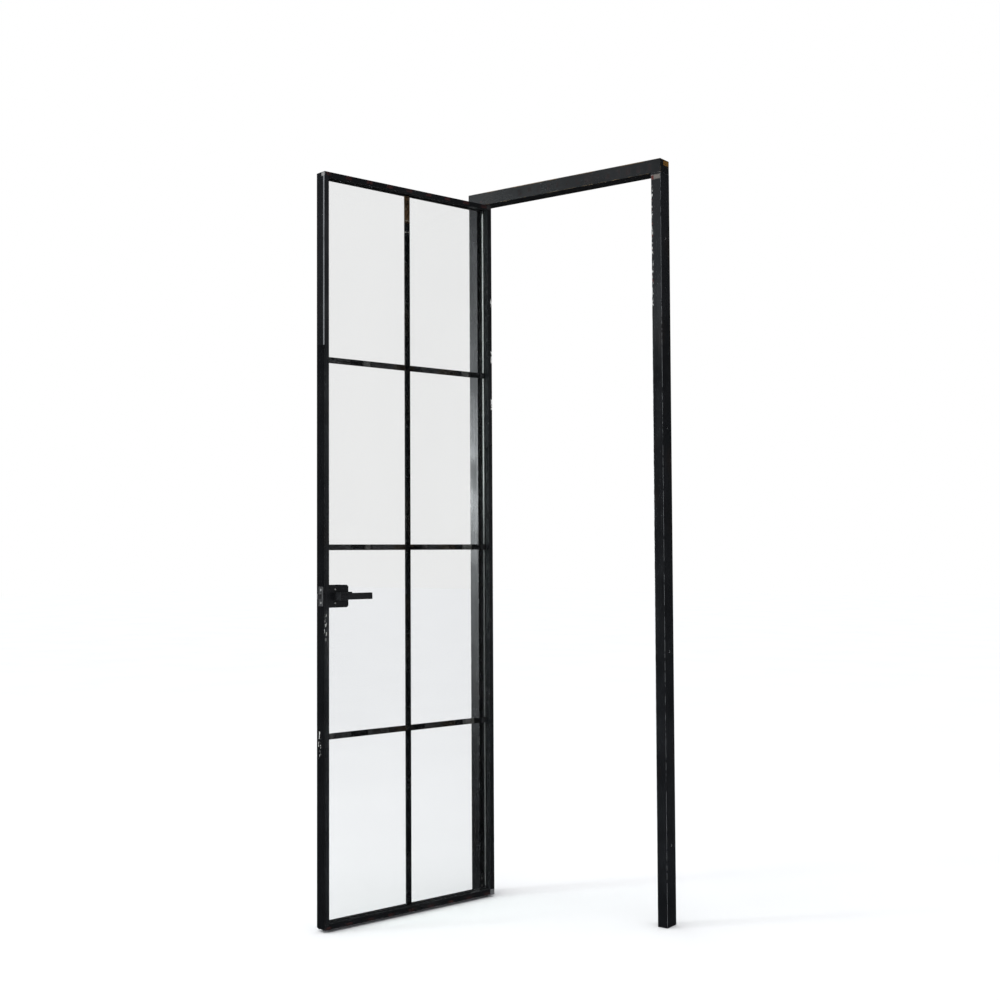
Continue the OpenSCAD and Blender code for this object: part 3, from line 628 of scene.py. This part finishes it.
def screw_recipe(material):
    """A screw with a hexagon socket at each point given, pointing down along Z."""
    recipe = Recipe("socket_screw", ["Top", "Head Radius", "Seat Radius", "Head Height",
                                     "Shank Radius", "Shank Length", "Socket Radius",
                                     "Socket Depth"])
    given = recipe.given
    seat = recipe.math("SUBTRACT", given["Top"], given["Head Height"])
    head = recipe.move(recipe.node("GeometryNodeMeshCone", {
        "Vertices": 32, "Radius Top": given["Head Radius"], "Radius Bottom": given["Seat Radius"],
        "Depth": given["Head Height"]}).outputs["Mesh"], recipe.point(0, 0, seat))
    shank = recipe.move(
        recipe.node("GeometryNodeMeshCylinder", {
            "Vertices": 20, "Radius": given["Shank Radius"],
            "Depth": given["Shank Length"]}).outputs["Mesh"],
        recipe.point(0, 0, recipe.math("ADD", 0.0002, recipe.math("SUBTRACT", seat, recipe.math(
            "MULTIPLY", given["Shank Length"], 0.5)))))
    socket = recipe.move(
        recipe.node("GeometryNodeMeshCylinder", {
            "Vertices": 6, "Radius": given["Socket Radius"],
            "Depth": recipe.math("MULTIPLY", given["Socket Depth"], 2.0)}).outputs["Mesh"],
        recipe.point(0, 0, given["Top"]))
    solid = recipe.node("GeometryNodeMeshBoolean", {"Mesh 2": [head, shank]}, operation="UNION")
    cut = recipe.node("GeometryNodeMeshBoolean", {
        "Mesh 1": solid.outputs["Mesh"], "Mesh 2": socket}, operation="DIFFERENCE")
    placed = recipe.node("GeometryNodeInstanceOnPoints", {
        "Points": given["Geometry"], "Instance": cut.outputs["Mesh"]}).outputs[0]
    recipe.end(placed, material)
    return recipe


def bar_grid_recipe(material):
    """An upright bar with cross bars butted against both its sides, centred on the upright."""
    recipe = Recipe("bar_grid", ["Clear Width", "Clear Height", "Bar Width", "Bar Depth",
                                 "Cross Bars", "First Height", "Row Height"])
    given = recipe.given
    upright = recipe.node("GeometryNodeMeshCube", {"Size": recipe.point(
        given["Bar Width"], given["Bar Depth"], given["Clear Height"])}).outputs["Mesh"]
    half = recipe.math("MULTIPLY", recipe.math("SUBTRACT", given["Clear Width"],
                                               given["Bar Width"]), 0.5)
    cross = recipe.node("GeometryNodeMeshCube", {"Size": recipe.point(
        half, given["Bar Depth"], given["Bar Width"])}).outputs["Mesh"]
    rows = recipe.node("GeometryNodeMeshLine", {
        "Count": given["Cross Bars"], "Start Location": recipe.point(0, 0, given["First Height"]),
        "Offset": recipe.point(0, 0, given["Row Height"])}).outputs["Mesh"]
    out = recipe.math("MULTIPLY", recipe.math("ADD", half, given["Bar Width"]), 0.5)
    parts = [upright]
    for side in (-1.0, 1.0):
        at_side = recipe.move(cross, recipe.point(recipe.math("MULTIPLY", out, side)))
        parts.append(recipe.node("GeometryNodeInstanceOnPoints", {
            "Points": rows, "Instance": at_side}).outputs[0])
    recipe.end(recipe.node("GeometryNodeJoinGeometry", {0: parts}).outputs[0], material)
    return recipe


# ---- pieces of the leaf ----

def perforated_spacer(recipe):
    """The spacer ring between the panes, a pierced bar along each straight side."""
    shape = merged("glass_spacer")
    back = LEAF.inverted()
    points = [back @ vert.co for vert in shape.verts]
    shape.free()
    u = sorted({round(p.x, 5) for p in points})
    z = sorted({round(p.z, 5) for p in points})
    low, high = extent("glass_spacer", LEAF)
    width, middle = high.y - low.y, (high.y + low.y) / 2
    right, down = Vector((1, 0, 0)), Vector((0, 0, -1))
    bars = [
        (u[0], u[1], z[0], z[7], right),
        (u[1], u[5], z[6], z[7], down),
        (u[1], u[5], z[0], z[1], UP),
        (u[4], u[5], z[1], z[3], -right),
        (u[4], u[5], z[4], z[6], -right),
        (u[2], u[3], z[3], z[4], -right),
        (u[2], u[4], z[2], z[3], down),
        (u[2], u[4], z[4], z[5], UP)]
    whole = bmesh.new()
    for left, end, bottom, top, facing in bars:
        upright = abs(facing.x) > 0.5
        length = top - bottom if upright else end - left
        height = end - left if upright else top - bottom
        run = UP if upright else right
        centre = Vector(((left + end) / 2, middle, (bottom + top) / 2))
        place = LEAF @ axes_to_matrix(run, facing.cross(run), facing, centre - facing * height / 2)
        mesh = baked(bpy.data.meshes.new("bar"), [], [recipe.modifier({
            "Length": length, "Width": width, "Height": height, "Pitch": 0.010,
            "Slot Length": 0.0026, "Slot Width": 0.0009, "Slot Depth": 0.0015})])
        for face in mesh.polygons:
            face.material_index = int(mesh.materials[face.material_index] == spacer_hole)
        mesh.transform(place)
        whole.from_mesh(mesh)
    mesh = bpy.data.meshes.new("perforated_spacer")
    whole.to_mesh(mesh)
    whole.free()
    for material in (mill_spacer, spacer_hole):
        mesh.materials.append(material)
    new_piece("perforated_spacer", mesh, "leaf", ["glass_spacer"])


def bar_grid(recipe):
    low, high = extent("upright_bar", LEAF)
    wide_low, wide_high = extent("cross_bars", LEAF)
    heights = sorted({round((a.z + b.z) / 2, 4) for a, b in islands("cross_bars", LEAF)})
    middle = (low + high) / 2
    mesh = baked(bpy.data.meshes.new("grid"), [], [recipe.modifier({
        "Clear Width": wide_high.x - wide_low.x, "Clear Height": high.z - low.z,
        "Bar Width": high.x - low.x, "Bar Depth": high.y - low.y, "Cross Bars": len(heights),
        "First Height": heights[0] - middle.z, "Row Height": heights[1] - heights[0]}),
        arris(0.6 * MM, 3)])
    mesh.transform(LEAF @ Matrix.Translation(middle))
    mesh.name = "bar_grid"
    new_piece("bar_grid", mesh, "leaf", ["upright_bar", "cross_bars"])


def screws(recipe, node, name, body, sets):
    """Screws of one kind; each set has a matrix that turns +Z out of the head, and its points."""
    whole = bmesh.new()
    for place, points, sizes in sets:
        start = bpy.data.meshes.new("points")
        start.from_pydata(points, [], [])
        mesh = baked(start, [], [recipe.modifier(sizes), arris(0.15 * MM, 2, angle=40)])
        for face in mesh.polygons:
            face.material_index = 0
        mesh.transform(place)
        whole.from_mesh(mesh)
    mesh = bpy.data.meshes.new(name)
    whole.to_mesh(mesh)
    whole.free()
    mesh.materials.append(bright_zinc)
    new_piece(name, mesh, body, [node])


def countersunk(head, shank, length, height, top=0.0):
    return {"Top": top, "Head Radius": head, "Seat Radius": shank * 1.12, "Head Height": height,
            "Shank Radius": shank, "Shank Length": length, "Socket Radius": head * 0.42,
            "Socket Depth": height * 0.7}


def pan_head(head, shank, length, height):
    return {"Top": height, "Head Radius": head * 0.86, "Seat Radius": head,
            "Head Height": height, "Shank Radius": shank, "Shank Length": length,
            "Socket Radius": head * 0.5, "Socket Depth": height * 0.6}


def all_screws(recipe):
    def facing(direction, place, centres):
        """A matrix whose Z is the way the heads face, and the centres in its axes."""
        side = UP if abs(direction.z) < 0.5 else Vector((1, 0, 0))
        matrix = place @ axes_to_matrix(side.cross(direction), side, direction, Vector())
        back = matrix.inverted()
        return matrix, [back @ (place @ c) for c in centres]

    def seats(node, place, axis, side):
        """Middle of each screw's outer end."""
        found = []
        for low, high in islands(node, place):
            centre = (low + high) / 2
            centre[axis] = high[axis] if side > 0 else low[axis]
            found.append(centre)
        return found

    y_out, x_out = Vector((0, 1, 0)), Vector((1, 0, 0))
    head_height = 1.4 * MM
    sets = []
    for side, shank_length in ((1, 40 * MM), (-1, 2.4 * MM)):
        ends = seats("cover_screws", LEAF, 1, side)
        outermost = max(side * end.y for end in ends)
        centres = [end - side * head_height * y_out for end in ends
                   if side * end.y > outermost - MM]
        sets.append((*facing(side * y_out, LEAF, centres),
                     pan_head(3 * MM, 1.7 * MM, shank_length, head_height)))
    screws(recipe, "cover_screws", "cover_screw_set", "leaf", sets)
    for node, name, body, place, axis, side, direction, sizes in (
            ("faceplate_screws", "faceplate_screw_set", "leaf", LEAF, 0, 1, x_out,
             countersunk(3.5 * MM, 1.7 * MM, 7 * MM, 2 * MM)),
            ("strike_screws", "strike_screw_set", "frame", ROOM, 0, -1, -x_out,
             countersunk(3.2 * MM, 1.7 * MM, 10.6 * MM, 1.3 * MM)),
            ("top_pivot_screws", "top_pivot_screw_set", "frame", ROOM, 2, -1, -UP,
             countersunk(4 * MM, 1.9 * MM, 11.8 * MM, 2.1 * MM)),
            ("bottom_pivot_screws", "bottom_pivot_screw_set", "frame", ROOM, 0, 1, x_out,
             countersunk(4 * MM, 1.9 * MM, 9.8 * MM, 2.1 * MM)),
            ("frame_corner_screws", "frame_corner_screw_set", "frame", ROOM, 2, 1, UP,
             pan_head(4.2 * MM, 2.15 * MM, 23.8 * MM, 2.6 * MM))):
        centres = seats(node, place, axis, side)
        if sizes["Top"] > 0:
            centres = [c - direction * sizes["Top"] for c in centres]
        screws(recipe, node, name, body, [(*facing(direction, place, centres), sizes)])


def stop_seal():
    """Rubber seal along the stop: a flat foot with a hollow-looking bulb in front."""
    low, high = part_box("stop_gasket")
    middle = (low.x + high.x) / 2
    half, deep = (high.x - low.x) / 2, high.y - low.y
    outline = [(low.x, high.y), (low.x, high.y - 0.3 * deep),
               (middle - 0.72 * half, high.y - 0.38 * deep)]
    for step in range(9):
        turn = math.pi * step / 8
        outline.append((middle - 0.66 * half * math.cos(turn),
                        high.y - 0.42 * deep - 0.58 * deep * math.sin(turn)))
    outline += [(middle + 0.72 * half, high.y - 0.38 * deep), (high.x, high.y - 0.3 * deep),
                (high.x, high.y)]
    shape = bmesh.new()
    bottom = shape.faces.new([shape.verts.new((x, y, low.z)) for x, y in outline])
    raised = bmesh.ops.extrude_face_region(shape, geom=[bottom])["geom"]
    bmesh.ops.translate(shape, vec=(0, 0, high.z - low.z),
                        verts=[v for v in raised if isinstance(v, bmesh.types.BMVert)])
    bmesh.ops.recalc_face_normals(shape, faces=shape.faces)
    mesh = baked(shape, [black_rubber_frame], [])
    mesh.name = "stop_seal"
    new_piece("stop_seal", mesh, "frame", ["stop_gasket"])


# ---- finishes in use ----

frame_arris = worn_arris("frame_arris", False, 0.35)
head_arris = worn_arris("head_arris", False, 0.6, (0.26, 0.19, 0.11))
lock_jamb_arris = worn_arris("lock_jamb_arris", False, 0.75)
leaf_arris = worn_arris("leaf_arris", True, 0.12, (0.16, 0.16, 0.165))
small_coat = plain_black("fitting_coating", True, 1.45, (1, 1, 1))
fitting_arris = worn_arris("fitting_arris", True, 0.1)
bead_coat = plain_black("bead_coating", True)
mill_spacer = spacer_finish()
spacer_hole = soft_black("spacer_slot_dark", (0.03, 0.03, 0.03), True, 0.7)
mill_aluminium = mill_metal("mill_aluminium", (0.60, 0.61, 0.62), False, 0.4)
bright_zinc = mill_metal("bright_zinc", (0.62, 0.62, 0.60), False, 0.34, (1, 1, 1), 0.6)
dull_steel = mill_metal("dull_steel", (0.30, 0.30, 0.31), False, 0.45, (1, 1, 1))
pale_steel = mill_metal("pale_steel", (0.36, 0.36, 0.37), True, 0.42, (1, 1, 1), 0.6)
dark_steel = mill_metal("dark_steel", (0.07, 0.07, 0.073), True, 0.4, (1, 1, 8), 0.5)
bolt_steel = mill_metal("bolt_steel", (0.075, 0.075, 0.08), True, 0.3, (1, 1, 1), 0.6)
plate_arris = worn_arris("plate_arris", True, 0.9, (0.26, 0.26, 0.25))
black_rubber = soft_black("black_rubber", (0.014, 0.014, 0.014), True, 0.62)
black_rubber_frame = soft_black("black_rubber_frame", (0.014, 0.014, 0.014), False, 0.62)
black_plastic = soft_black("black_plastic", (0.02, 0.02, 0.02), False, 0.5)
pane_glass = clear_pane()

# node, piece, body, slot, finish, arris finish, arris width in millimetres, segments
COPIES = [
    ("head", "head_tube", "frame", "black_coating", head_finish(), head_arris, 0.7, 3),
    ("head_end_caps", "head_caps", "frame", "black_coating", cap_finish(), frame_arris, 0.3, 2),
    ("hinge_jamb", "hinge_jamb_tube", "frame", "black_coating", hinge_jamb_finish(),
     frame_arris, 0.7, 3),
    ("lock_jamb", "lock_jamb_tube", "frame", "black_coating", lock_jamb_finish(),
     lock_jamb_arris, 0.7, 3),
    ("frame_corner_blocks", "corner_blocks", "frame", "bare_aluminium", mill_aluminium, None,
     0.5, 2),
    ("jamb_foot_plugs", "foot_plugs", "frame", "black_plastic", black_plastic, None, 0.5, 2),
    ("strike_plate", "strike", "frame", "dull_steel", dull_steel, None, 0.25, 2),
    ("top_pivot_plate", "top_pivot_base", "frame", "dull_steel", dull_steel, None, 0.4, 2),
    ("top_pivot_pin", "top_pivot_bolt", "frame", "bright_steel", bright_zinc, None, 0.5, 2),
    ("bottom_pivot_bracket", "bottom_pivot_angle", "frame", "dull_steel", dull_steel, None,
     0.4, 2),
    ("bottom_pivot_pin", "bottom_pivot_bolt", "frame", "bright_steel", bright_zinc, None,
     0.4, 2),
    ("hinge_stile", "hinge_side_stile", "leaf", "black_coating", hinge_stile_finish(),
     leaf_arris, 0.45, 2),
    ("lock_stile", "lock_side_stile", "leaf", "black_coating", lock_stile_finish(), leaf_arris,
     0.45, 2),
    ("top_rail", "leaf_top_rail", "leaf", "black_coating",
     rail_finish("top_rail_coating", "top_rail", True), leaf_arris, 0.45, 2),
    ("bottom_rail", "leaf_bottom_rail", "leaf", "black_coating",
     rail_finish("bottom_rail_coating", "bottom_rail", False), leaf_arris, 0.45, 2),
    ("leaf_corner_cleats", "corner_cleats", "leaf", "bare_aluminium", mill_aluminium, None,
     0.4, 2),
    ("top_pivot_shoe", "top_shoe", "leaf", "dull_steel", dark_steel, None, 0.4, 2),
    ("bottom_pivot_shoe", "bottom_shoe", "leaf", "dull_steel", pale_steel, None, 0.5, 2),
    ("push_pane", "push_side_pane", "leaf", "clear_glass", pane_glass, None, 0.4, 1),
    ("pull_pane", "pull_side_pane", "leaf", "clear_glass", pane_glass, None, 0.4, 1),
    ("edge_sealant", "pane_sealant", "leaf", "black_rubber", black_rubber, None, 0.2, 1),
    ("stile_beads", "upright_beads", "leaf", "black_coating", bead_coat, leaf_arris, 0.4, 2),
    ("rail_beads", "level_beads", "leaf", "black_coating", bead_coat, leaf_arris, 0.4, 2),
    ("glazing_gasket", "pane_gasket", "leaf", "black_rubber", black_rubber, None, 0.2, 2),
    ("setting_blocks", "pane_blocks", "leaf", "black_plastic", black_plastic, None, 0.3, 2),
    ("bottom_seal", "leaf_bottom_seal", "leaf", "black_rubber", black_rubber, None, 0.4, 2),
    ("lock_case", "latch_case", "leaf", "dull_steel", dull_steel, None, 0.4, 2),
    ("faceplate", "latch_faceplate", "leaf", "dull_steel", dark_steel, plate_arris, 0.4, 2),
    ("push_cover", "push_side_cover", "leaf", "black_coating", small_coat, fitting_arris,
     0.7, 3),
    ("pull_cover", "pull_side_cover", "leaf", "black_coating", small_coat, fitting_arris,
     0.7, 3),
    ("push_lever", "push_side_lever", "lever", "black_coating", small_coat, fitting_arris,
     0.8, 3),
    ("pull_lever", "pull_side_lever", "lever", "black_coating", small_coat, fitting_arris,
     0.8, 3),
    ("spindle", "lever_spindle", "lever", "dull_steel", dull_steel, None, 0.4, 2),
    ("follower", "lever_follower", "lever", "dull_steel", dull_steel, None, 0.4, 2),
    ("lever_set_screws", "set_screws", "lever", "bright_steel", bright_zinc, None, 0.2, 2),
    ("latch_bolt", "sprung_latch", "latch", "bright_steel", bolt_steel, plate_arris, 0.6, 2),
]
for node, name, body, slot, finish, edge, width, segments in COPIES:
    from_node(node, name, body, slot, finish, edge, width * MM, segments)

perforated_spacer(perforated_bar_recipe(mill_spacer, spacer_hole))
bar_grid(bar_grid_recipe(bar_finish()))
all_screws(screw_recipe(bright_zinc))
stop_seal()


# ---- floor, light and camera ----

def pale_floor():
    half, level = 30.0, -0.6 * MM
    mesh = bpy.data.meshes.new("floor")
    mesh.from_pydata([(-half, -half, level), (half, -half, level), (half, half, level),
                      (-half, half, level)], [], [(0, 1, 2, 3)])
    floor = bpy.data.objects.new("floor", mesh)
    bpy.context.scene.collection.objects.link(floor)
    paint = Finish("pale_floor")
    paint.colour = paint.blend(paint.grade(paint.clouds(0.6, 2), 0.3, 0.7), (0.93, 0.93, 0.93),
                               (0.95, 0.95, 0.95))
    mirrored = paint.math("GREATER_THAN", paint.node("ShaderNodeLightPath").outputs[
        "Glossy Depth"], 0.5)
    paint.mark(mirrored, (0.02, 0.02, 0.02))
    mesh.materials.append(paint.done(0.8, **{"Specular IOR Level": 0.0}))
    floor.visible_glossy = False


def studio_sky():
    """White all round to the eye, and a dim room in what shines."""
    world = bpy.data.worlds.new("studio")
    bpy.context.scene.world = world
    world.use_nodes = True
    nodes, links = world.node_tree.nodes, world.node_tree.links
    nodes.clear()
    path = nodes.new("ShaderNodeLightPath")
    seen = nodes.new("ShaderNodeMath")
    seen.operation = "MAXIMUM"
    straight = nodes.new("ShaderNodeMath")
    straight.operation = "LESS_THAN"
    links.new(path.outputs["Glossy Depth"], straight.inputs[0])
    straight.inputs[1].default_value = 0.5
    through = nodes.new("ShaderNodeMath")
    through.operation = "MULTIPLY"
    links.new(path.outputs["Is Transmission Ray"], through.inputs[0])
    links.new(straight.outputs[0], through.inputs[1])
    links.new(path.outputs["Is Camera Ray"], seen.inputs[0])
    links.new(through.outputs[0], seen.inputs[1])
    dim = nodes.new("ShaderNodeMix")
    dim.data_type = "RGBA"
    dim.inputs[6].default_value = (0.42, 0.43, 0.45, 1)
    dim.inputs[7].default_value = (0.02, 0.021, 0.023, 1)
    links.new(path.outputs["Is Glossy Ray"], dim.inputs["Factor"])
    sky = nodes.new("ShaderNodeMix")
    sky.data_type = "RGBA"
    sky.inputs[7].default_value = (1, 1, 1, 1)
    links.new(seen.outputs[0], sky.inputs["Factor"])
    links.new(dim.outputs[2], sky.inputs[6])
    shown = nodes.new("ShaderNodeBackground")
    links.new(sky.outputs[2], shown.inputs["Color"])
    out = nodes.new("ShaderNodeOutputWorld")
    links.new(shown.outputs[0], out.inputs["Surface"])


def soft_light(name, place, target, width, height, power, colour=(1, 1, 1)):
    lamp = bpy.data.lights.new(name, "AREA")
    lamp.shape = "RECTANGLE"
    lamp.size, lamp.size_y = width, height
    lamp.energy = power
    lamp.color = colour
    lit = bpy.data.objects.new(name, lamp)
    lit.location = place
    lit.rotation_euler = (Vector(target) - Vector(place)).to_track_quat("-Z", "Y").to_euler()
    bpy.context.scene.collection.objects.link(lit)
    lit.visible_camera = False
    lit.visible_transmission = False


def studio_lights():
    sun = bpy.data.lights.new("overhead", "SUN")
    sun.energy = 2.04
    sun.angle = math.radians(80)
    above = bpy.data.objects.new("overhead", sun)
    above.rotation_euler = (math.radians(8), math.radians(-6), 0)
    bpy.context.scene.collection.objects.link(above)
    soft_light("left_core", (-2.85, -3.8, 1.62), (0, 0, 1.42), 0.7, 0.7, 40,
               (0.93, 0.975, 1.0))
    soft_light("left_tall", (-2.9, -3.85, 1.78), (0, 0, 1.78), 0.7, 3.3, 37,
               (0.93, 0.975, 1.0))
    soft_light("high_front", (-1.9, -3.3, 3.5), (0.35, 0, 2.35), 2.4, 1.1, 3,
               (0.86, 0.94, 1.0))
    soft_light("right_side", (4.2, 1.4, 1.5), (0, -0.4, 1.3), 2.6, 2.6, 2.0)


def camera():
    """Stands to the right of the opening and looks slightly up at the open leaf."""
    place = (2.848359, -3.779539, 1.165046)
    yaw, pitch, roll = 0.6301443, 0.0373688, -0.0051573
    ahead = Vector((-math.sin(yaw) * math.cos(pitch), math.cos(yaw) * math.cos(pitch),
                    math.sin(pitch)))
    level = Vector((math.cos(yaw), math.sin(yaw), 0))
    over = level.cross(ahead)
    right = level * math.cos(roll) + over * math.sin(roll)
    above = over * math.cos(roll) - level * math.sin(roll)
    lens = bpy.data.cameras.new("camera")
    lens.sensor_width = 36.0
    lens.lens = 49.35
    lens.clip_end = 200
    view = bpy.data.objects.new("camera", lens)
    view.matrix_world = axes_to_matrix(right, above, -ahead, place)
    bpy.context.scene.collection.objects.link(view)
    bpy.context.scene.camera = view


pale_floor()
studio_sky()
studio_lights()
camera()
bpy.context.scene.view_settings.view_transform = "Standard"
